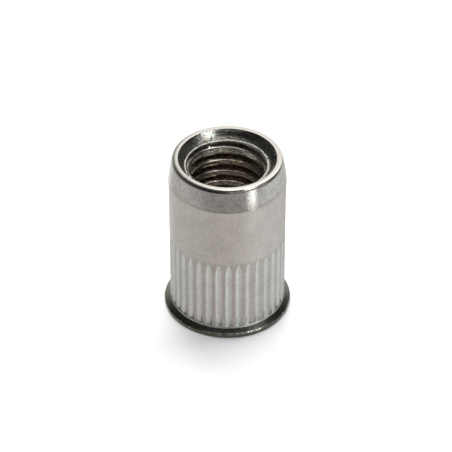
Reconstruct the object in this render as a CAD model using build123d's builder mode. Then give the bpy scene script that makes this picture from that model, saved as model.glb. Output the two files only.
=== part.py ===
from build123d import *
from math import radians, sqrt, tan
import os

# A knurled rivet nut with a small head, for an M8 bolt, as it is before it is set.
# It stands on the face of its head, with its axis on Z and the mouth of its thread on top.
# Lengths are in millimetres and angles in degrees. Heights start at the face of the head.

# Shank
OVERALL_LENGTH = 16.8
SHANK_DIAMETER = 11.0

# Head: a thin flange whose upper side falls away from the shank as a flat cone
HEAD_DIAMETER = 12.16
HEAD_EDGE_THICKNESS = 0.43
HEAD_CONE_ANGLE = 27.0
HEAD_EDGE_ROUNDING = 0.2
HEAD_FACE_CHAMFER = 0.08
HEAD_ROOT_FILLET = 0.1

# Nose: the narrowed end that goes into the hole first
NOSE_LENGTH = 2.33
NOSE_TIP_DIAMETER = 10.3
NOSE_CROWN_RADIUS = 15.0
RIM_ROUNDING = 0.14

# Bore: an M8 thread of coarse pitch, taken at its minor diameter, with a funnel-shaped mouth
THREAD_MINOR_DIAMETER = 6.8
MOUTH_DIAMETER = 9.2
MOUTH_ANGLE = 72.0

# Counterbore: it thins the wall that folds outwards when the nut is set
COUNTERBORE_DIAMETER = 9.0
COUNTERBORE_DEPTH = 8.3
COUNTERBORE_POINT_ANGLE = 120.0
COUNTERBORE_EDGE_CHAMFER = 0.15

# Knurl: straight flutes pressed into the shank, which rise to nothing at their upper ends
FLUTE_COUNT = 36
FLUTE_WIDTH = 0.6
FLUTE_DEPTH = 0.14
FLUTE_RUNOUT_LENGTH = 1.1
FLUTE_TIP_HEIGHT = 8.2
FLUTE_FOOT_GAP = 0.12
FLUTE_START_ANGLE = 2.5

# Radii and heights that follow from the sizes above
shank_radius = SHANK_DIAMETER / 2
head_radius = HEAD_DIAMETER / 2
head_root_height = HEAD_EDGE_THICKNESS + (head_radius - shank_radius) * tan(radians(HEAD_CONE_ANGLE))
nose_tip_radius = NOSE_TIP_DIAMETER / 2
nose_root_height = OVERALL_LENGTH - NOSE_LENGTH
minor_radius = THREAD_MINOR_DIAMETER / 2
mouth_radius = MOUTH_DIAMETER / 2
mouth_floor_height = OVERALL_LENGTH - (mouth_radius - minor_radius) / tan(radians(MOUTH_ANGLE / 2))
counterbore_radius = COUNTERBORE_DIAMETER / 2
counterbore_point_height = (
    COUNTERBORE_DEPTH + (counterbore_radius - minor_radius) / tan(radians(COUNTERBORE_POINT_ANGLE / 2))
)

# A flute is the print of a round bar that lies along the shank and then leans away from it.
# The bar's radius comes from the width and depth of the print, measured on the round shank.
BAR_END_RATIO = 1.5
flute_half_width = FLUTE_WIDTH / 2
flute_chord_distance = sqrt(shank_radius**2 - flute_half_width**2)
flute_sagitta = flute_chord_distance - (shank_radius - FLUTE_DEPTH)
bar_radius = (flute_half_width**2 + flute_sagitta**2) / (2 * flute_sagitta)
bar_distance = shank_radius - FLUTE_DEPTH + bar_radius
bar_foot_height = head_root_height + FLUTE_FOOT_GAP
bar_bend_height = FLUTE_TIP_HEIGHT - FLUTE_RUNOUT_LENGTH

with BuildPart() as flute_bar:
    with BuildLine(Plane.XZ):
        Polyline(
            (bar_distance, bar_foot_height),
            (bar_distance, bar_bend_height),
            (
                bar_distance + BAR_END_RATIO * FLUTE_DEPTH,
                bar_bend_height + BAR_END_RATIO * FLUTE_RUNOUT_LENGTH,
            ),
        )
    with BuildSketch(Plane.XY.offset(bar_foot_height)):
        with Locations((bar_distance, 0)):
            Circle(bar_radius)
    sweep(transition=Transition.RIGHT)

with BuildPart() as rivet_nut:
    # The turned blank
    with BuildSketch(Plane.XZ) as blank:
        with BuildLine():
            Polyline(
                (nose_tip_radius, OVERALL_LENGTH),
                (0, OVERALL_LENGTH),
                (0, 0),
                (head_radius, 0),
                (head_radius, HEAD_EDGE_THICKNESS),
                (shank_radius, head_root_height),
                (shank_radius, nose_root_height),
            )
            RadiusArc(
                (shank_radius, nose_root_height),
                (nose_tip_radius, OVERALL_LENGTH),
                -NOSE_CROWN_RADIUS,
            )
        make_face()
        for corner, rounding in (
            ((nose_tip_radius, OVERALL_LENGTH), RIM_ROUNDING),
            ((shank_radius, head_root_height), HEAD_ROOT_FILLET),
            ((head_radius, HEAD_EDGE_THICKNESS), HEAD_EDGE_ROUNDING),
        ):
            fillet(blank.vertices().sort_by_distance(corner)[0], rounding)
        chamfer(blank.vertices().sort_by_distance((head_radius, 0))[0], HEAD_FACE_CHAMFER)
    revolve(axis=Axis.Z)

    # The knurl
    with PolarLocations(0, FLUTE_COUNT, start_angle=FLUTE_START_ANGLE):
        add(flute_bar.part, mode=Mode.SUBTRACT)

    # The bore, from the counterbore in the head to the mouth in the nose
    with BuildSketch(Plane.XZ):
        with BuildLine():
            Polyline(
                (0, 0),
                (counterbore_radius + COUNTERBORE_EDGE_CHAMFER, 0),
                (counterbore_radius, COUNTERBORE_EDGE_CHAMFER),
                (counterbore_radius, COUNTERBORE_DEPTH),
                (minor_radius, counterbore_point_height),
                (minor_radius, mouth_floor_height),
                (mouth_radius, OVERALL_LENGTH),
                (0, OVERALL_LENGTH),
                close=True,
            )
        make_face()
    revolve(axis=Axis.Z, mode=Mode.SUBTRACT)

rivet_nut.part.label = "rivet_nut"

os.makedirs("parts", exist_ok=True)
export_step(rivet_nut.part, "parts/rivet_nut.step")
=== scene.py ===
from math import acos, cos, pi, radians, sin, sqrt, tan

import bpy
import numpy as np
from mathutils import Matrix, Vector


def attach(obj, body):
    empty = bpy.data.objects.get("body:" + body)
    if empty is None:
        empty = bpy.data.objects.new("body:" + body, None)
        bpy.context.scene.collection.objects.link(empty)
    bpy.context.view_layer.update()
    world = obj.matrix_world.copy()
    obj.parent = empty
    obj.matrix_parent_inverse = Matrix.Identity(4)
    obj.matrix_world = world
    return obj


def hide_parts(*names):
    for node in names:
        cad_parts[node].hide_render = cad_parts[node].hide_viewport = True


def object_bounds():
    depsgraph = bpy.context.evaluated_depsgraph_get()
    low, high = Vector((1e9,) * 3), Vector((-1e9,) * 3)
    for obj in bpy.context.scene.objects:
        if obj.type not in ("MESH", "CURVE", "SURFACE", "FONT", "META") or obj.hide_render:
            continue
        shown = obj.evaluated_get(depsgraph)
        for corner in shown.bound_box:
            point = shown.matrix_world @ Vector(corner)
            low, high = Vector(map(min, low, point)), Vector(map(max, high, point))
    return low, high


# The look of a knurled rivet nut of stainless steel. Lengths are in millimetres until a mesh is made,
# angles are in degrees where a name is in capitals, and heights start at the face of the head.

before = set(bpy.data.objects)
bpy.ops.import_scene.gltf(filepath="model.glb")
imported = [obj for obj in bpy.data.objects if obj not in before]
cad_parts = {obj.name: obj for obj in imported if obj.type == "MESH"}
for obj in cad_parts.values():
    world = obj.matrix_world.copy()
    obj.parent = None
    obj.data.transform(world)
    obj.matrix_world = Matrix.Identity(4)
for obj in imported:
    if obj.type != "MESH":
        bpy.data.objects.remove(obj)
cad_low, cad_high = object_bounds()
MM = 0.001
PER_MM = 1 / MM
overall_length = (cad_high.z - cad_low.z) / MM
head_radius = min(cad_high.x, cad_high.y) / MM

# Shank and nose
SHANK_RADIUS = 5.5
SHANK_FLARE = 0.045
SHANK_FLARE_DECAY = 0.9
NOSE_LENGTH = 2.33
NOSE_TIP_RADIUS = 5.15
NOSE_CROWN_RADIUS = 15.0
NOSE_ROOT_STEP = 0.006
NOSE_ROOT_ROUNDING = 0.25
nose_root_height = overall_length - NOSE_LENGTH

# Rim: from the seam it curves down to a narrow bevel, which ends on the crown of the nose
RIM_SEAM_RADIUS = 4.82
RIM_CURVE_RADIUS = 5.085
RIM_CURVE_DROP = 0.007
RIM_BEVEL_RADIUS = 5.12
RIM_BEVEL_DROP = 0.045
RIM_BEVEL_HEIGHT = 0.31
RIM_BEVEL_ROUNDING = 0.2

# Head
HEAD_EDGE_THICKNESS = 0.43
HEAD_CONE_ANGLE = 27.0
HEAD_EDGE_ROUNDING = 0.2
HEAD_FACE_ROUNDING = 0.08
HEAD_ROOT_FILLET = 0.05
FACE_SEAM_RADIUS = 5.3
head_root_height = HEAD_EDGE_THICKNESS + (head_radius - SHANK_RADIUS) * tan(radians(HEAD_CONE_ANGLE))

# Knurl: each flute is the print of a round bar that lies along the shank and then leans away from it
FLUTE_COUNT = 36
FLUTE_WIDTH = 0.6
FLUTE_DEPTH = 0.14
FLUTE_RUNOUT_LENGTH = 1.1
FLUTE_TIP_HEIGHT = 8.3
FLUTE_FOOT_GAP = 0.17
FLUTE_START_ANGLE = 2.5
FLUTE_EDGE_SOFTNESS = 0.03
FLUTE_TIP_MARGIN = 0.3
BAR_END_RATIO = 1.5
flute_sagitta = sqrt(SHANK_RADIUS**2 - (FLUTE_WIDTH / 2) ** 2) - (SHANK_RADIUS - FLUTE_DEPTH)
bar_radius = ((FLUTE_WIDTH / 2) ** 2 + flute_sagitta**2) / (2 * flute_sagitta)
bar_distance = SHANK_RADIUS - FLUTE_DEPTH + bar_radius
flute_foot_height = head_root_height + FLUTE_FOOT_GAP
flute_bend_height = FLUTE_TIP_HEIGHT - FLUTE_RUNOUT_LENGTH

# Bore, with its funnel-shaped mouth, its thread and its counterbore
MOUTH_RADIUS = 4.6
MOUTH_HALF_ANGLE = 36.0
MOUTH_EDGE_ROUNDING = 0.05
THREAD_MAJOR_RADIUS = 4.0
THREAD_MINOR_RADIUS = 3.4
THREAD_PITCH = 1.25
THREAD_HALF_ANGLE = 30.0
THREAD_ROOT_HALF = THREAD_PITCH / 16
THREAD_CREST_SOFTNESS = 0.03
THREAD_END_SOFTNESS = 0.05
GROOVE_HEIGHT_AT_BACK = 13.17
COUNTERBORE_RADIUS = 4.5
COUNTERBORE_DEPTH = 8.3
COUNTERBORE_HALF_ANGLE = 60.0
COUNTERBORE_EDGE_CHAMFER = 0.15

# What the tap has left in the mouth: a lip that is turned up, a first turn that is cut back, and a mark
LIP_HEIGHT = 15.98
LIP_THICKNESS = 0.13
LIP_RADIUS = 3.78
LIP_SHIFT = 0.09
TAP_ENTRY_RADIUS = 3.6
TAP_ENTRY_FOOT = 14.85
TAP_ENTRY_TOP = 15.3
TAP_MARK_ANGLE = 117.6
TAP_MARK_HALF_ANGLE = 1.3
TAP_MARK_FOOT = 15.0
lip_foot_height = LIP_HEIGHT - LIP_THICKNESS

# How far the torn metal strays to each side
LIP_TEAR = 0.035
MOUTH_TEAR = 0.009
THREAD_TEAR = 0.003
TEAR_SEED = 5

# Columns of the mesh, as shares of half a flute and of the half ridge beside it
FLUTE_COLUMNS = (0.0, 0.35, 0.68, 0.92, 1.04)
RIDGE_COLUMNS = (0.42, 1.0)
SMALLEST_FLUTE_SHARE = 0.3
pitch_half_angle = pi / FLUTE_COUNT

# Rings of the shank, as (from, to, count). They crowd together where the flutes run out.
SHANK_RINGS = (
    (nose_root_height - 0.25, FLUTE_TIP_HEIGHT + 0.4, 14),
    (FLUTE_TIP_HEIGHT + 0.12, flute_bend_height - 0.12, 22),
    (flute_bend_height - 0.5, flute_foot_height + 0.12, 12),
)

# Rings of the thread, as (from, to, step). They crowd together towards the mouth, where they are seen.
THREAD_RINGS = (
    (COUNTERBORE_DEPTH, 12.0, 0.06),
    (12.0, 14.3, 0.045),
    (14.3, lip_foot_height - 0.01, 0.032),
)

# The small ledges at the feet of the flutes, as (rise above the foot, share of the way out to the shank)
LEDGE_RINGS = ((0.04, 0), (0.012, 0), (0.003, 0.12), (0, 0.9), (-0.012, 1))

# The top of the lip, as (distance outwards from the bore, rise above the lip's height)
LIP_RINGS = ((0.01, -0.01), (0.04, 0.0), (0.15, 0.01))

# The torn foot of the funnel, as rises above the lip's height
TORN_FUNNEL_RINGS = (0.06, 0.11, 0.16, 0.22)

# Camera: it looks down on the nut, a little to the right of straight on
VIEW_ANGLE = 1.1
CAMERA_ELEVATION = 37.98
CAMERA_DISTANCE = 222.67
CAMERA_TARGET_HEIGHT = 8.75
CAMERA_SIDE_STEP = -0.13
CAMERA_FIELD = 10.98
CAMERA_CLIP_START = 10
SENSOR_WIDTH = 36
back_angle = radians(90 + VIEW_ANGLE)

# Floor and lamps
FLOOR_HALF_SIZE = 600
FLOOR_COLOUR = (0.9, 0.9, 0.91)
FLOOR_LIGHT = (0.27, 0.27, 0.27)
LAMP_DISTANCE = 300

# Each lamp is (name, angle around the nut from the right, elevation, spread, strength)
LAMPS = (
    ("back_lamp", 67, 21, 96, 7.1),
    ("left_lamp", 180, 30, 64, 1.7),
    ("top_lamp", 120, 55, 44, 0.95),
)


def smooth_max(a, b, softness):
    """The larger of two arrays, with the crease between them rounded."""
    blend = np.clip(softness - np.abs(a - b), 0, None) / softness
    return np.maximum(a, b) + blend**2 * softness / 4


def smooth_min(a, b, softness):
    """The smaller of two arrays, with the crease between them rounded."""
    return -smooth_max(-a, -b, softness)


def rounded_corner(before, corner, after, radius, steps):
    """Points of an arc that rounds the corner of an outline."""
    c = np.array(corner)
    u = np.array(before) - c
    v = np.array(after) - c
    u /= np.linalg.norm(u)
    v /= np.linalg.norm(v)
    half = acos(np.clip(u @ v, -1, 1)) / 2
    centre = c + (u + v) / np.linalg.norm(u + v) * radius / sin(half)
    start = c + u * radius / tan(half) - centre
    end = c + v * radius / tan(half) - centre
    sweep = pi - 2 * half
    points = []
    for t in np.linspace(0, 1, steps + 1):
        p = centre + (sin((1 - t) * sweep) * start + sin(t * sweep) * end) / sin(sweep)
        points.append((p[0], p[1]))
    return points


def soft_curve(start, middle, end, steps):
    """Points of a curve from a start to an end that bends towards a point between them."""
    points = []
    for t in np.linspace(0, 1, steps + 1):
        weights = ((1 - t) ** 2, 2 * t * (1 - t), t**2)
        points.append(tuple(np.array(weights) @ np.array((start, middle, end))))
    return points


def crown_point(z):
    """Radius of the crowned nose at a height, with that height."""
    top = np.array((NOSE_TIP_RADIUS, overall_length))
    root = np.array((SHANK_RADIUS + SHANK_FLARE - NOSE_ROOT_STEP, nose_root_height))
    chord = top - root
    half_chord = np.linalg.norm(chord) / 2
    inward = np.array((-chord[1], chord[0])) / (2 * half_chord)
    centre = (top + root) / 2 + inward * sqrt(NOSE_CROWN_RADIUS**2 - half_chord**2)
    return centre[0] + sqrt(NOSE_CROWN_RADIUS**2 - (z - centre[1]) ** 2), z


def shank_radius(z):
    """The shank swells a little towards the nose."""
    return SHANK_RADIUS + SHANK_FLARE * np.exp((z - nose_root_height) / SHANK_FLARE_DECAY)


def bar_lift(z):
    """How far the bar that prints a flute has risen from its floor at a height."""
    return FLUTE_DEPTH * np.clip((z - flute_bend_height) / FLUTE_RUNOUT_LENGTH, 0, BAR_END_RATIO)


def flute_half_angle(z):
    """Half of the angle that a flute takes up on the shank at a height, in radians."""
    distance = bar_distance + bar_lift(z)
    cosine = (SHANK_RADIUS**2 + distance**2 - bar_radius**2) / (2 * SHANK_RADIUS * distance)
    return acos(min(1.0, cosine))


def outer_angles(z):
    """Angles of the mesh's columns at a height. They crowd together with the edges of the flutes."""
    full = flute_half_angle(0)
    if z > FLUTE_TIP_HEIGHT:
        share = 1 - (1 - SMALLEST_FLUTE_SHARE) * np.exp(FLUTE_TIP_HEIGHT - z)
    else:
        share = max(SMALLEST_FLUTE_SHARE, flute_half_angle(z) / full)
    flute = [full * share * column for column in FLUTE_COLUMNS]
    edge = flute[-1]
    right = flute + [edge + (pitch_half_angle - edge) * column for column in RIDGE_COLUMNS]
    around_flute = np.array([-angle for angle in reversed(right[1:-1])] + right)
    middles = radians(FLUTE_START_ANGLE) + 2 * pitch_half_angle * np.arange(FLUTE_COUNT)
    return (middles[:, None] + around_flute).ravel()


def knurled_radius(z, angles):
    """Radius of the shank with its flutes at a height, for each angle."""
    smooth = np.full(len(angles), float(shank_radius(z)))
    if z > FLUTE_TIP_HEIGHT + FLUTE_TIP_MARGIN:
        return smooth
    local = angles - radians(FLUTE_START_ANGLE)
    local = (local + pitch_half_angle) % (2 * pitch_half_angle) - pitch_half_angle
    distance = bar_distance + bar_lift(z)
    reach = bar_radius**2 - (distance * np.sin(local)) ** 2
    print_radius = distance * np.cos(local) - np.sqrt(np.clip(reach, 0, None))
    print_radius = np.where(reach > 0, print_radius, smooth + 1)
    return smooth_min(smooth, print_radius, FLUTE_EDGE_SOFTNESS)


def groove_height(angles):
    """Height of the middle of the thread's groove, up to a whole number of pitches."""
    return GROOVE_HEIGHT_AT_BACK + THREAD_PITCH * (angles - back_angle) / (2 * pi)


def funnel_radius(z):
    """Radius of the mouth's funnel at a height."""
    return MOUTH_RADIUS - (overall_length - z) * tan(radians(MOUTH_HALF_ANGLE))


def crest_radius(z):
    """Radius of the thread's crests at a height. The first turn is cut back a little."""
    share = np.clip((z - TAP_ENTRY_FOOT) / (TAP_ENTRY_TOP - TAP_ENTRY_FOOT), 0, 1)
    return THREAD_MINOR_RADIUS + share * (TAP_ENTRY_RADIUS - THREAD_MINOR_RADIUS)


def bore_radius(z, angles):
    """Radius of the bore at a height and for each angle, from the end of the counterbore up to the lip."""
    if z > lip_foot_height:
        return LIP_RADIUS - LIP_SHIFT * np.cos(angles)
    offset = (z - groove_height(angles)) / THREAD_PITCH
    offset = np.abs(offset - np.round(offset)) * THREAD_PITCH
    flank = THREAD_MAJOR_RADIUS - (offset - THREAD_ROOT_HALF) / tan(radians(THREAD_HALF_ANGLE))
    groove = np.minimum(flank, THREAD_MAJOR_RADIUS)
    if z > TAP_MARK_FOOT:
        on_mark = np.abs(angles - radians(TAP_MARK_ANGLE)) < radians(TAP_MARK_HALF_ANGLE)
        groove = np.where(on_mark, np.minimum(groove, funnel_radius(z)), groove)
    thread = smooth_max(groove, np.full(len(angles), crest_radius(z)), THREAD_CREST_SOFTNESS)
    point = COUNTERBORE_RADIUS - (z - COUNTERBORE_DEPTH) * tan(radians(COUNTERBORE_HALF_ANGLE))
    return smooth_max(thread, np.full(len(angles), point), THREAD_END_SOFTNESS)


def ring(radius, z, angles):
    """Points of one ring of the mesh. The radius is one number, or one for each angle."""
    radius = np.broadcast_to(radius, angles.shape)
    height = np.full(angles.shape, z)
    return np.stack((radius * np.cos(angles), radius * np.sin(angles), height), axis=1)


def nose_outline():
    """Radii and heights from the rim's seam over its bevel and down the crown to the shank."""
    bevel_top = (RIM_BEVEL_RADIUS, overall_length - RIM_BEVEL_DROP)
    bevel_foot_height = overall_length - RIM_BEVEL_HEIGHT
    crown_top = bevel_foot_height - 0.08
    crown_foot = nose_root_height + 0.15
    below_root = nose_root_height - 0.2
    outline = soft_curve(
        (RIM_SEAM_RADIUS, overall_length),
        (RIM_CURVE_RADIUS, overall_length - RIM_CURVE_DROP),
        bevel_top,
        9,
    )
    outline += rounded_corner(
        bevel_top,
        crown_point(bevel_foot_height),
        crown_point(bevel_foot_height - 0.1),
        RIM_BEVEL_ROUNDING,
        3,
    )
    outline += [crown_point(z) for z in np.linspace(crown_top, crown_foot, 12)]
    outline += rounded_corner(
        crown_point(crown_foot),
        (shank_radius(nose_root_height), nose_root_height),
        (shank_radius(below_root), below_root),
        NOSE_ROOT_ROUNDING,
        4,
    )
    return outline


def shank_rings():
    """Rings of points down the shank and over the ledges at the feet of the flutes."""
    rings = []
    for z in np.concatenate([np.linspace(*span) for span in SHANK_RINGS]):
        angles = outer_angles(z)
        rings.append(ring(knurled_radius(z, angles), z, angles))
    angles = outer_angles(0)
    for rise, share in LEDGE_RINGS:
        z = flute_foot_height + rise
        radius = (1 - share) * knurled_radius(z, angles) + share * SHANK_RADIUS
        rings.append(ring(radius, z, angles))
    return rings


def head_outline():
    """Radii and heights from the root of the head over its edge to the seam on its face."""
    above_root = (SHANK_RADIUS, flute_foot_height)
    root = (SHANK_RADIUS, head_root_height)
    edge = (head_radius, HEAD_EDGE_THICKNESS)
    face = (head_radius, 0)
    seam = (FACE_SEAM_RADIUS, 0)
    outline = rounded_corner(above_root, root, edge, HEAD_ROOT_FILLET, 6)
    outline += rounded_corner(root, edge, face, HEAD_EDGE_ROUNDING, 8)
    outline += rounded_corner(edge, face, seam, HEAD_FACE_ROUNDING, 4)
    return outline + [seam]


def outer_rings():
    """Rings of points from the rim down the outside to the face of the head."""
    rings = [ring(radius, z, outer_angles(z)) for radius, z in nose_outline()]
    rings += shank_rings()
    rings += [ring(radius, z, outer_angles(0)) for radius, z in head_outline()]
    return rings


def counterbore_outline():
    """Radii and heights from the face of the head up the wall of the counterbore."""
    outline = [(COUNTERBORE_RADIUS + COUNTERBORE_EDGE_CHAMFER, 0)]
    outline += [(COUNTERBORE_RADIUS, COUNTERBORE_EDGE_CHAMFER)]
    outline += [(COUNTERBORE_RADIUS, z) for z in np.linspace(0.3, COUNTERBORE_DEPTH - 0.05, 8)]
    return outline


def mouth_outline():
    """Radii and heights up the smooth part of the funnel and over its edge to the rim's seam."""
    below_edge = overall_length - 0.3
    heights = np.linspace(LIP_HEIGHT + 0.3, overall_length - 0.32, 5)
    outline = [(funnel_radius(z), z) for z in heights]
    outline += rounded_corner(
        (funnel_radius(below_edge), below_edge),
        (MOUTH_RADIUS, overall_length),
        (RIM_SEAM_RADIUS, overall_length),
        MOUTH_EDGE_ROUNDING,
        4,
    )
    return outline


def inner_rings(angles):
    """Rings of points from the face of the head up the bore to the rim."""
    chance = np.random.default_rng(TEAR_SEED)

    def torn(size):
        return size * chance.uniform(-1, 1, len(angles))

    rings = [ring(radius, z, angles) for radius, z in counterbore_outline()]
    heights = [np.arange(*span) for span in THREAD_RINGS]
    heights += [np.linspace(lip_foot_height + 0.01, LIP_HEIGHT - 0.03, 4)]
    for z in np.concatenate(heights):
        rings.append(ring(bore_radius(z, angles) + torn(THREAD_TEAR), z, angles))
    for outwards, rise in LIP_RINGS:
        radius = bore_radius(LIP_HEIGHT, angles) + outwards + torn(LIP_TEAR)
        radius = np.minimum(radius, funnel_radius(LIP_HEIGHT) - 0.01)
        rings.append(ring(radius, LIP_HEIGHT + rise, angles))
    for rise in TORN_FUNNEL_RINGS:
        z = LIP_HEIGHT + rise
        rings.append(ring(funnel_radius(z) + torn(MOUTH_TEAR), z, angles))
    rings += [ring(radius, z, angles) for radius, z in mouth_outline()]
    return rings


# Material slots of the faces, in the order of STEELS
SHANK_SLOT = 0
NOSE_SLOT = 1
BORE_SLOT = 2
MOUTH_SLOT = 3
HEAD_SLOT = 4


def region_slot(inner, z):
    """Material slot of a face inside or outside the nut at a height."""
    if inner:
        return MOUTH_SLOT if z > lip_foot_height else BORE_SLOT
    if z < head_root_height:
        return HEAD_SLOT
    return SHANK_SLOT if z < nose_root_height else NOSE_SLOT


def nut_faces(outside, inside):
    """Corners and material slot of each face. The rings inside have half the columns of those outside, so
    that the faces of the two seams have five corners."""
    starts = np.cumsum([0] + [len(points) for points in outside + inside]).tolist()
    faces = []
    slots = []
    for rings, first, inner in ((outside, 0, False), (inside, len(outside), True)):
        count = len(rings[0])
        for k in range(len(rings) - 1):
            a = starts[first + k]
            b = starts[first + k + 1]
            middle_height = (rings[k][0, 2] + rings[k + 1][0, 2]) / 2
            for i in range(count):
                j = (i + 1) % count
                faces.append((a + i, b + i, b + j, a + j))
                slots.append(region_slot(inner, middle_height))

    rim_seam = starts[0]
    face_seam = starts[len(outside) - 1]
    bore_foot = starts[len(outside)]
    bore_top = starts[len(outside) + len(inside) - 1]
    wide = len(outside[0])
    narrow = len(inside[0])
    for i in range(narrow):
        j = (i + 1) % narrow
        a = 2 * i
        b = 2 * i + 1
        c = (2 * i + 2) % wide
        faces.append((face_seam + a, bore_foot + i, bore_foot + j, face_seam + c, face_seam + b))
        slots.append(HEAD_SLOT)
        faces.append((bore_top + i, rim_seam + a, rim_seam + b, rim_seam + c, bore_top + j))
        slots.append(NOSE_SLOT)
    return faces, slots


def relief_marks(points):
    """Named values of each point: how deep it lies in the knurl, from 0 to 1, on which side of its flute,
    from -1 to 1, and how deep it lies in the thread, from 0 to 1."""
    x, y, z = points.T
    radius = np.hypot(x, y)
    on_shank = (z > flute_foot_height) & (z < FLUTE_TIP_HEIGHT) & (radius > MOUTH_RADIUS)
    flute_depth = np.clip((shank_radius(z) - radius) / FLUTE_DEPTH, 0, 1)
    side = np.sin(FLUTE_COUNT * (np.arctan2(y, x) - radians(FLUTE_START_ANGLE)))
    thread_depth = (radius - crest_radius(z)) / (THREAD_MAJOR_RADIUS - THREAD_MINOR_RADIUS)
    return {
        "flute_depth": np.where(on_shank, flute_depth, 0.0),
        "flute_side": side,
        "thread_depth": np.clip(thread_depth, 0, 1),
    }


def build_nut():
    """One closed mesh, made of the rings of the outside and of the bore."""
    outside = outer_rings()
    inside = inner_rings(outer_angles(0)[::2])
    points = np.concatenate(outside + inside)
    faces, slots = nut_faces(outside, inside)
    mesh = bpy.data.meshes.new("steel_rivet_nut")
    mesh.from_pydata((points * MM).tolist(), [], faces)
    mesh.polygons.foreach_set("material_index", slots)
    mesh.polygons.foreach_set("use_smooth", [True] * len(faces))
    for name, values in relief_marks(points).items():
        mark = mesh.attributes.new(name, "FLOAT", "POINT")
        mark.data.foreach_set("value", values)
    mesh.update()
    nut = bpy.data.objects.new("steel_rivet_nut", mesh)
    bpy.context.scene.collection.objects.link(nut)
    weighted = nut.modifiers.new("even_shading", "WEIGHTED_NORMAL")
    weighted.mode = "FACE_AREA"
    weighted.weight = 90
    return nut


class Graph:
    """Short calls that add nodes to a node tree."""

    def __init__(self, tree):
        self.tree = tree
        tree.nodes.clear()

    def node(self, kind, inputs=None, **settings):
        made = self.tree.nodes.new(kind)
        for name, value in settings.items():
            setattr(made, name, value)
        for name, value in (inputs or {}).items():
            self.feed(made.inputs[name], value)
        return made

    def feed(self, socket, value):
        """Link a socket to another node's output, or set its value. Colours are (r, g, b)."""
        if isinstance(value, bpy.types.NodeSocket):
            self.tree.links.new(value, socket)
        elif socket.type == "RGBA":
            socket.default_value = (*value, 1)
        else:
            socket.default_value = value

    def attribute(self, name):
        return self.node("ShaderNodeAttribute", attribute_name=name).outputs["Fac"]

    def place(self):
        return self.node("ShaderNodeTexCoord").outputs["Object"]

    def math(self, operation, a, b=0.0):
        return self.node("ShaderNodeMath", {0: a, 1: b}, operation=operation).outputs[0]

    def remap(self, value, low, high, out_low=0.0, out_high=1.0, smooth=True):
        made = self.node(
            "ShaderNodeMapRange",
            {"Value": value, "From Min": low, "From Max": high, "To Min": out_low, "To Max": out_high},
            interpolation_type="SMOOTHSTEP" if smooth else "LINEAR",
        )
        return made.outputs["Result"]

    def window(self, value, low, high, fade, fade_out=None):
        """One between two values of a quantity, and nothing beyond a soft border."""
        rise = self.remap(value, low - fade, low)
        fall = self.remap(value, high + (fade_out or fade), high)
        return self.math("MULTIPLY", rise, fall)

    def scale(self, colour, factor):
        made = self.node("ShaderNodeVectorMath", {0: colour, 1: factor}, operation="MULTIPLY")
        return made.outputs[0]

    def add_scaled(self, colour, factor, base):
        inputs = {0: colour, 1: factor, 2: base}
        return self.node("ShaderNodeVectorMath", inputs, operation="MULTIPLY_ADD").outputs[0]

    def mix(self, share, a, b):
        made = self.node("ShaderNodeMix", data_type="RGBA")
        self.feed(made.inputs["Factor"], share)
        self.feed(made.inputs[6], a)
        self.feed(made.inputs[7], b)
        return made.outputs[2]

    def ramp(self, value, stops):
        """Colour by value between stops, which are (position, (r, g, b))."""
        low = stops[0][0]
        high = stops[-1][0]
        share = self.remap(value, low, high, smooth=False)
        made = self.node("ShaderNodeValToRGB", {"Fac": share})
        elements = made.color_ramp.elements
        while len(elements) < len(stops):
            elements.new(0.5)
        for element, (position, colour) in zip(elements, stops):
            element.position = (position - low) / (high - low)
            element.color = (*colour, 1)
        return made.outputs["Color"]

    def noise(self, vector, size, detail, roughness):
        """Soft noise whose spots are about as large as a size in millimetres."""
        made = self.node(
            "ShaderNodeTexNoise",
            {"Vector": vector, "Scale": PER_MM / size, "Detail": detail, "Roughness": roughness},
        )
        return made.outputs["Fac"]


# Tones that the steel's colour is multiplied with. Several are painted light and shade, as said where they
# are used.
PLAIN_TONE = (1, 1, 1)
RIDGE_TONE = (0.80, 0.79, 0.78)
FLUTE_TONE = (1.09, 1.165, 1.20)
# A painted highlight: the pale bluish line at the feet of the flutes
LEDGE_HIGHLIGHT_TONE = (1.15, 1.24, 1.28)
GROOVE_TONE = (0.72, 0.68, 0.63)
NOSE_FOOT_BAND_TONE = (0.90, 0.89, 0.88)
# A painted highlight: the bright ring of the lip
LIP_HIGHLIGHT_TONE = (3.1, 3.0, 2.9)
# Painted shade on the head: its cone, its rounded edge and the foot of its edge
HEAD_CONE_SHADE_TONE = (0.75, 0.75, 0.74)
HEAD_ROUNDING_SHADE_TONE = (0.9, 0.9, 0.9)
HEAD_FOOT_SHADE_TONE = (0.22, 0.18, 0.155)


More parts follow.
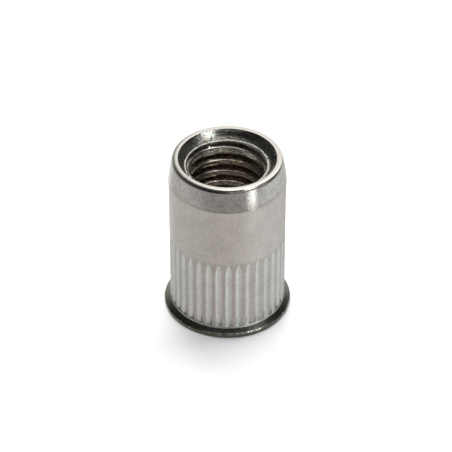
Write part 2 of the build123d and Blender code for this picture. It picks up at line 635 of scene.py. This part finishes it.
def knurl_tone(g, height):
    """The floors of the flutes are pressed bright. The ridges between them stay dull and brownish. Painted
    light and shade come on top: one wall of each flute is painted lighter and the other darker, the flutes
    are painted lighter near their feet, the whole knurl is painted darker towards its foot, and the ledges
    at the feet carry a painted pale bluish highlight.
    """
    in_knurl = g.remap(height, FLUTE_TIP_HEIGHT + FLUTE_TIP_MARGIN, FLUTE_TIP_HEIGHT - 0.1)
    ridge = g.mix(in_knurl, PLAIN_TONE, RIDGE_TONE)
    # Painted light and shade: one wall of each flute is lighter, the other darker
    flute = g.scale(FLUTE_TONE, g.remap(g.attribute("flute_side"), -1.0, 1.0, 1.05, 0.93))
    # Painted light: the flutes are lighter near their feet
    painted_light_near_foot = g.remap(height, flute_foot_height + 0.45, flute_foot_height, 1.0, 1.25)
    flute = g.scale(flute, painted_light_near_foot)
    knurl = g.mix(g.remap(g.attribute("flute_depth"), 0.01, 0.13), ridge, flute)
    # Painted shade: the knurl is darker towards its foot
    painted_shade_towards_foot = g.remap(height, 0.8, 7.0, 0.93, 1.06, smooth=False)
    knurl = g.scale(knurl, g.mix(in_knurl, PLAIN_TONE, painted_shade_towards_foot))
    # Painted highlight on the ledges at the feet of the flutes
    on_ledge = g.remap(height, flute_foot_height + 0.02, flute_foot_height)
    return g.mix(on_ledge, knurl, LEDGE_HIGHLIGHT_TONE)


def nose_tone(g, height):
    """A faint darker band runs round the foot of the nose."""
    on_mark = g.window(height, nose_root_height + 0.1, nose_root_height + 0.26, 0.08)
    return g.mix(on_mark, PLAIN_TONE, NOSE_FOOT_BAND_TONE)


def rim_polish(g, height):
    """The rim is rubbed smooth."""
    return g.remap(height, overall_length - 0.35, overall_length - 0.1)


def thread_tone(g, height):
    """The crests are rubbed bright and the grooves between them are dark with oil. On top of that the
    crests are painted much lighter towards the mouth, as painted light, and darker deeper in the bore, as
    painted shade, and the grooves are painted darker just below the lip, as painted shade.
    """
    # Painted light towards the mouth and painted shade deeper in the bore
    crest = g.scale(PLAIN_TONE, g.remap(height, 13.3, 15.4, 0.7, 1.8))
    # Painted shade in the grooves just below the lip
    groove = g.scale(GROOVE_TONE, g.remap(height, 14.7, 15.5, 1.0, 0.5))
    return g.mix(g.remap(g.attribute("thread_depth"), 0.08, 0.35), crest, groove)


def thread_bump(g, height):
    """The crests are torn rough and the grooves are smooth, at every height."""
    return g.remap(g.attribute("thread_depth"), 0.08, 0.3, 1.0, 0.2)


def mouth_tone(g, height):
    """The funnel keeps the steel's dark colour, which is painted shade, down to the lip at its foot, which
    is painted bright as a painted highlight.
    """
    # Painted highlight on the lip
    return g.mix(g.remap(height, LIP_HEIGHT + 0.01, LIP_HEIGHT + 0.05), LIP_HIGHLIGHT_TONE, PLAIN_TONE)


def mouth_bump(g, height):
    """The foot of the funnel is torn rough."""
    return g.remap(height, LIP_HEIGHT + 0.34, LIP_HEIGHT + 0.16, 0.35, 1.0)


def head_tone(g, height):
    """The foot of the head's edge is painted dark and brownish, as painted shade, the cone is painted
    darker, as painted shade, and the rounded top of the edge is painted dull, as painted shade, with
    bright specks that are painted glints.
    """
    # Painted glints on the rounded edge of the head
    painted_glints = g.remap(g.noise(g.place(), 0.24, 2.0, 0.6), 0.52, 0.66, 0.42, 3.0)
    on_rounding = g.window(height, 0.37, 0.43, 0.03)
    upper = g.mix(on_rounding, HEAD_CONE_SHADE_TONE, g.scale(HEAD_ROUNDING_SHADE_TONE, painted_glints))
    # Painted shade at the foot of the head's edge
    return g.mix(g.remap(height, 0.24, 0.36), HEAD_FOOT_SHADE_TONE, upper)


# What all the steels share
COOL_TINT = (0.985, 1.0, 1.0)
FAINT_STAIN_TINT = (1.01, 0.995, 0.975)
STAIN_SIZE = 0.35
GLOSS_PATCH_SIZE = 0.3
ROUGHNESS_BELOW = 0.04
ROUGHNESS_ABOVE = 0.05
POLISHED_BUMP = 0.4
NOISE_LOW = 0.3
NOISE_HIGH = 0.7

# In the order of the material slots
STEELS = (
    dict(
        name="steel_shank",
        base=(0.64, 0.61, 0.585),
        roughness=0.36,
        grain_size=0.13,
        grain_tone=0.14,
        patch_size=1.4,
        patch_tone=0.045,
        bump_height=0.012,
        relief_tone=knurl_tone,
    ),
    dict(
        name="steel_nose",
        base=(0.61, 0.595, 0.57),
        roughness=0.16,
        grain_size=0.15,
        grain_tone=0.18,
        patch_size=0.7,
        patch_tone=0.075,
        bump_height=0.01,
        relief_tone=nose_tone,
        polish=rim_polish,
        anisotropy=0.5,
    ),
    dict(
        name="steel_bore",
        base=(0.54, 0.52, 0.485),
        roughness=0.18,
        grain_size=0.15,
        grain_tone=0.55,
        patch_size=0.6,
        patch_tone=0.1,
        bump_height=0.02,
        relief_tone=thread_tone,
        relief_bump=thread_bump,
        stain_tint=(1.14, 0.98, 0.82),
    ),
    dict(
        name="steel_mouth",
        # The funnel's steel is painted dark, as painted shade
        base=(0.32, 0.335, 0.315),
        roughness=0.16,
        grain_size=0.15,
        grain_tone=0.75,
        patch_size=0.6,
        patch_tone=0.1,
        bump_height=0.05,
        relief_tone=mouth_tone,
        relief_bump=mouth_bump,
        stain_tint=(1.1, 0.98, 0.82),
    ),
    dict(
        name="steel_head",
        # The head's steel is painted dark, as painted shade
        base=(0.38, 0.38, 0.34),
        roughness=0.18,
        grain_size=0.13,
        grain_tone=0.3,
        patch_size=0.5,
        patch_tone=0.1,
        bump_height=0.014,
        relief_tone=head_tone,
    ),
)


def steel(
    name,
    base,
    roughness,
    grain_size,
    grain_tone,
    patch_size,
    patch_tone,
    bump_height,
    relief_tone,
    relief_bump=None,
    polish=None,
    anisotropy=0.0,
    stain_tint=FAINT_STAIN_TINT,
):
    """Stainless steel with a fine grain, soft patches of tone, faint stains and a slightly uneven gloss.
    The functions relief_tone, relief_bump and polish say how these change over the piece; relief_tone also
    carries painted light and shade."""
    material = bpy.data.materials.new(name)
    material.use_nodes = True
    g = Graph(material.node_tree)
    place = g.place()
    height = g.math("MULTIPLY", g.node("ShaderNodeSeparateXYZ", {0: place}).outputs["Z"], PER_MM)

    grain = g.noise(place, grain_size, 3.0, 0.65)
    patches = g.noise(place, patch_size, 3.0, 0.6)
    stain = g.noise(place, STAIN_SIZE, 2.0, 0.5)
    gloss_patches = g.noise(place, GLOSS_PATCH_SIZE, 3.0, 0.6)
    grain_share = g.remap(grain, NOISE_LOW, NOISE_HIGH, 1 - grain_tone, 1 + grain_tone)
    patch_share = g.remap(patches, NOISE_LOW, NOISE_HIGH, -patch_tone, patch_tone)
    tone = g.math("ADD", grain_share, patch_share)
    strength = relief_bump(g, height) if relief_bump else 1.0
    if polish:
        polished = polish(g, height)
        tone = g.remap(polished, 0.0, 1.0, tone, 1.0)
        strength = g.remap(polished, 0.0, 1.0, strength, POLISHED_BUMP)

    cool = tuple(channel * factor for channel, factor in zip(base, COOL_TINT))
    warm = tuple(channel * factor for channel, factor in zip(base, stain_tint))
    tint = g.mix(g.remap(stain, 0.35, 0.75), cool, warm)
    colour = g.scale(g.scale(tint, tone), relief_tone(g, height))
    uneven = (roughness - ROUGHNESS_BELOW, roughness + ROUGHNESS_ABOVE)
    bump = g.node("ShaderNodeBump", {"Height": grain, "Distance": bump_height * MM, "Strength": strength})
    shader = g.node("ShaderNodeBsdfPrincipled", {
        "Base Color": colour,
        "Metallic": 1.0,
        "Roughness": g.remap(gloss_patches, NOISE_LOW, NOISE_HIGH, *uneven),
        "Normal": bump.outputs["Normal"],
    })
    if anisotropy:
        around = g.node("ShaderNodeTangent", direction_type="RADIAL", axis="Z")
        g.feed(shader.inputs["Tangent"], around.outputs["Tangent"])
        g.feed(shader.inputs["Anisotropic"], anisotropy)
        g.feed(shader.inputs["Anisotropic Rotation"], 0.25)
    out = g.node("ShaderNodeOutputMaterial")
    g.feed(out.inputs["Surface"], shader.outputs["BSDF"])
    return material


def build_floor():
    """A pale floor that keeps the soft shadow of the nut. It can't be seen from below."""
    size = FLOOR_HALF_SIZE * MM
    mesh = bpy.data.meshes.new("floor")
    corners = [(-size, -size, 0), (size, -size, 0), (size, size, 0), (-size, size, 0)]
    mesh.from_pydata(corners, [], [(0, 1, 2, 3)])
    floor = bpy.data.objects.new("floor", mesh)
    bpy.context.scene.collection.objects.link(floor)
    material = bpy.data.materials.new("floor_white")
    material.use_nodes = True
    g = Graph(material.node_tree)
    lit = g.node("ShaderNodeBsdfDiffuse", {"Color": FLOOR_COLOUR}).outputs[0]
    clear = g.node("ShaderNodeBsdfTransparent").outputs[0]
    behind = g.node("ShaderNodeNewGeometry").outputs["Backfacing"]
    shown = g.node("ShaderNodeMixShader", {0: behind, 1: lit, 2: clear}).outputs[0]
    out = g.node("ShaderNodeOutputMaterial")
    g.feed(out.inputs["Surface"], shown)
    mesh.materials.append(material)
    floor.visible_glossy = False


# What the metal reflects, from straight down to straight up, as (elevation, colour)
ROOM_IN_FRONT = (
    (-90, (0.10, 0.095, 0.09)),
    (-66, (0.10, 0.095, 0.09)),
    (-55, (0.80, 0.76, 0.72)),
    (-40, (0.80, 0.76, 0.72)),
    (-31, (0.50, 0.47, 0.44)),
    (-26, (0.37, 0.355, 0.34)),
    (-21, (0.17, 0.165, 0.16)),
    (-15, (0.48, 0.46, 0.44)),
    (-10, (0.40, 0.39, 0.37)),
    (-4, (0.022, 0.02, 0.018)),
    (90, (0.04, 0.04, 0.04)),
)
ROOM_AT_SIDES = (
    (-90, (0.10, 0.10, 0.10)),
    (-66, (0.10, 0.10, 0.10)),
    (-55, (0.73, 0.72, 0.70)),
    (-38, (0.74, 0.73, 0.71)),
    (-32, (0.53, 0.52, 0.50)),
    (-22, (0.68, 0.67, 0.65)),
    (-14, (0.60, 0.59, 0.57)),
    (-7, (0.40, 0.40, 0.39)),
    (4, (0.08, 0.08, 0.08)),
    (30, (0.04, 0.04, 0.04)),
    (90, (0.045, 0.045, 0.045)),
)
ROOM_BEHIND = (
    (-90, (0.10, 0.10, 0.10)),
    (-66, (0.10, 0.10, 0.10)),
    (-55, (0.85, 0.85, 0.84)),
    (0, (0.95, 0.95, 0.94)),
    (10, (0.75, 0.73, 0.71)),
    (24, (0.60, 0.58, 0.56)),
    (36, (0.13, 0.125, 0.12)),
    (50, (0.11, 0.105, 0.10)),
    (66, (0.045, 0.045, 0.045)),
    (90, (0.045, 0.045, 0.045)),
)
LEFT_TINT = (0.93, 0.93, 0.93)
RIGHT_TINT = (1.19, 1.215, 1.24)


def degrees_of(g, operation, a, b=0.0):
    """An angle in degrees from an inverse function of sine or tangent."""
    return g.math("MULTIPLY", g.math(operation, a, b), 180 / pi)


def reflected_room(g, direction):
    """The colour of the surroundings in a direction: a pale table and back wall, a dark room in front and
    above, and five lights and pale things, each with soft borders."""
    x, y, z = g.node("ShaderNodeSeparateXYZ", {0: direction}).outputs
    elevation = degrees_of(g, "ARCSINE", z)
    # From straight in front, to the right
    azimuth = degrees_of(g, "ARCTAN2", x, g.math("MULTIPLY", y, -1.0))
    # From straight behind, to the right
    aside = degrees_of(g, "ARCTAN2", x, y)

    def patch(turn, turn_range, elevation_range):
        return g.math("MULTIPLY", g.window(turn, *turn_range), g.window(elevation, *elevation_range))

    turned_away = g.math("ABSOLUTE", azimuth)
    front = g.ramp(elevation, ROOM_IN_FRONT)
    side = g.ramp(elevation, ROOM_AT_SIDES)
    back = g.ramp(elevation, ROOM_BEHIND)
    lean = g.mix(g.remap(x, -1, 1, smooth=False), LEFT_TINT, RIGHT_TINT)
    sides = g.scale(g.mix(g.remap(turned_away, 20, 85), front, side), lean)
    behind = g.scale(back, g.remap(aside, -20, 20, 1.1, 0.75))
    room = g.mix(g.remap(turned_away, 122, 156), sides, behind)

    # A panel low at the right makes the bright streak on the nose
    panel = patch(azimuth, (43, 51, 4), (-22, 0, 5))
    # A small strong light at the right makes the bright patch in the funnel and the glints of the edges
    glow = patch(azimuth, (40, 50, 7, 20), (28, 42, 4))
    # A screen high up behind the nut, brighter in its upper part, lights the flat of the rim and the lip
    screen = patch(aside, (-2.5, 28, 6), (18, 74, 6))
    screen = g.math("MULTIPLY", screen, g.remap(elevation, 32, 44, 0.62, 1.25))
    # A strip high up in front lights the crests of the thread and the cone of the head
    strip = patch(azimuth, (-50, 88, 3), (50, 61, 4))
    # A dull card at the right lights the face of the thread's first crest and the edge of the rim
    card = patch(azimuth, (8, 75, 16), (8, 22, 4))
    for colour, shape in (
        ((1.8, 1.8, 1.8), panel),
        ((5.4, 5.4, 5.4), glow),
        ((1.42, 1.36, 1.32), screen),
        ((1.55, 1.55, 1.55), strip),
        ((0.32, 0.305, 0.28), card),
    ):
        room = g.add_scaled(colour, shape, room)
    return room


def build_surroundings():
    """The camera sees white, the metal reflects the room, and the floor gets an even light."""
    world = bpy.data.worlds.new("studio")
    bpy.context.scene.world = world
    world.use_nodes = True
    g = Graph(world.node_tree)
    direction = g.node(
        "ShaderNodeVectorRotate",
        {"Vector": g.node("ShaderNodeTexCoord").outputs["Generated"], "Angle": -radians(VIEW_ANGLE)},
        rotation_type="Z_AXIS",
    ).outputs[0]
    path = g.node("ShaderNodeLightPath")
    mirrored = g.math("MAXIMUM", path.outputs["Is Glossy Ray"], path.outputs["Is Transmission Ray"])
    plain = g.mix(path.outputs["Is Camera Ray"], FLOOR_LIGHT, (1, 1, 1))
    seen = g.mix(mirrored, plain, reflected_room(g, direction))
    background = g.node("ShaderNodeBackground", {"Color": seen, "Strength": 1.0})
    out = g.node("ShaderNodeOutputWorld")
    g.feed(out.inputs["Surface"], background.outputs[0])


def build_lamps():
    """Three broad lamps behind the nut and at its left. They throw its soft shadow on the floor in front
    of it, and they are left out of reflections, where the surroundings take their place."""
    for name, around, elevation, spread, strength in LAMPS:
        lamp = bpy.data.lights.new(name, "SUN")
        lamp.angle = radians(spread)
        lamp.energy = strength
        holder = bpy.data.objects.new(name, lamp)
        bpy.context.scene.collection.objects.link(holder)
        turn = radians(around + VIEW_ANGLE)
        rise = radians(elevation)
        toward = Vector((cos(turn) * cos(rise), sin(turn) * cos(rise), sin(rise)))
        holder.location = toward * LAMP_DISTANCE * MM
        holder.rotation_euler = toward.to_track_quat("Z", "Y").to_euler()
        holder.visible_glossy = False


def build_camera():
    """The camera stands where the photo was taken from."""
    camera = bpy.data.cameras.new("camera")
    camera.sensor_width = SENSOR_WIDTH
    camera.lens = SENSOR_WIDTH / 2 / tan(radians(CAMERA_FIELD / 2))
    camera.clip_start = CAMERA_CLIP_START * MM
    holder = bpy.data.objects.new("camera", camera)
    bpy.context.scene.collection.objects.link(holder)
    turn = radians(VIEW_ANGLE)
    rise = radians(CAMERA_ELEVATION)
    back = Vector((sin(turn) * cos(rise), -cos(turn) * cos(rise), sin(rise)))
    right = Vector((cos(turn), sin(turn), 0))
    target = Vector((0, 0, CAMERA_TARGET_HEIGHT)) + right * CAMERA_SIDE_STEP
    holder.location = (target + back * CAMERA_DISTANCE) * MM
    holder.rotation_euler = back.to_track_quat("Z", "Y").to_euler()
    bpy.context.scene.camera = holder


nut = build_nut()
for settings in STEELS:
    nut.data.materials.append(steel(**settings))
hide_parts("rivet_nut")
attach(nut, "root")

build_floor()
build_surroundings()
build_lamps()
build_camera()
bpy.context.scene.view_settings.view_transform = "Standard"
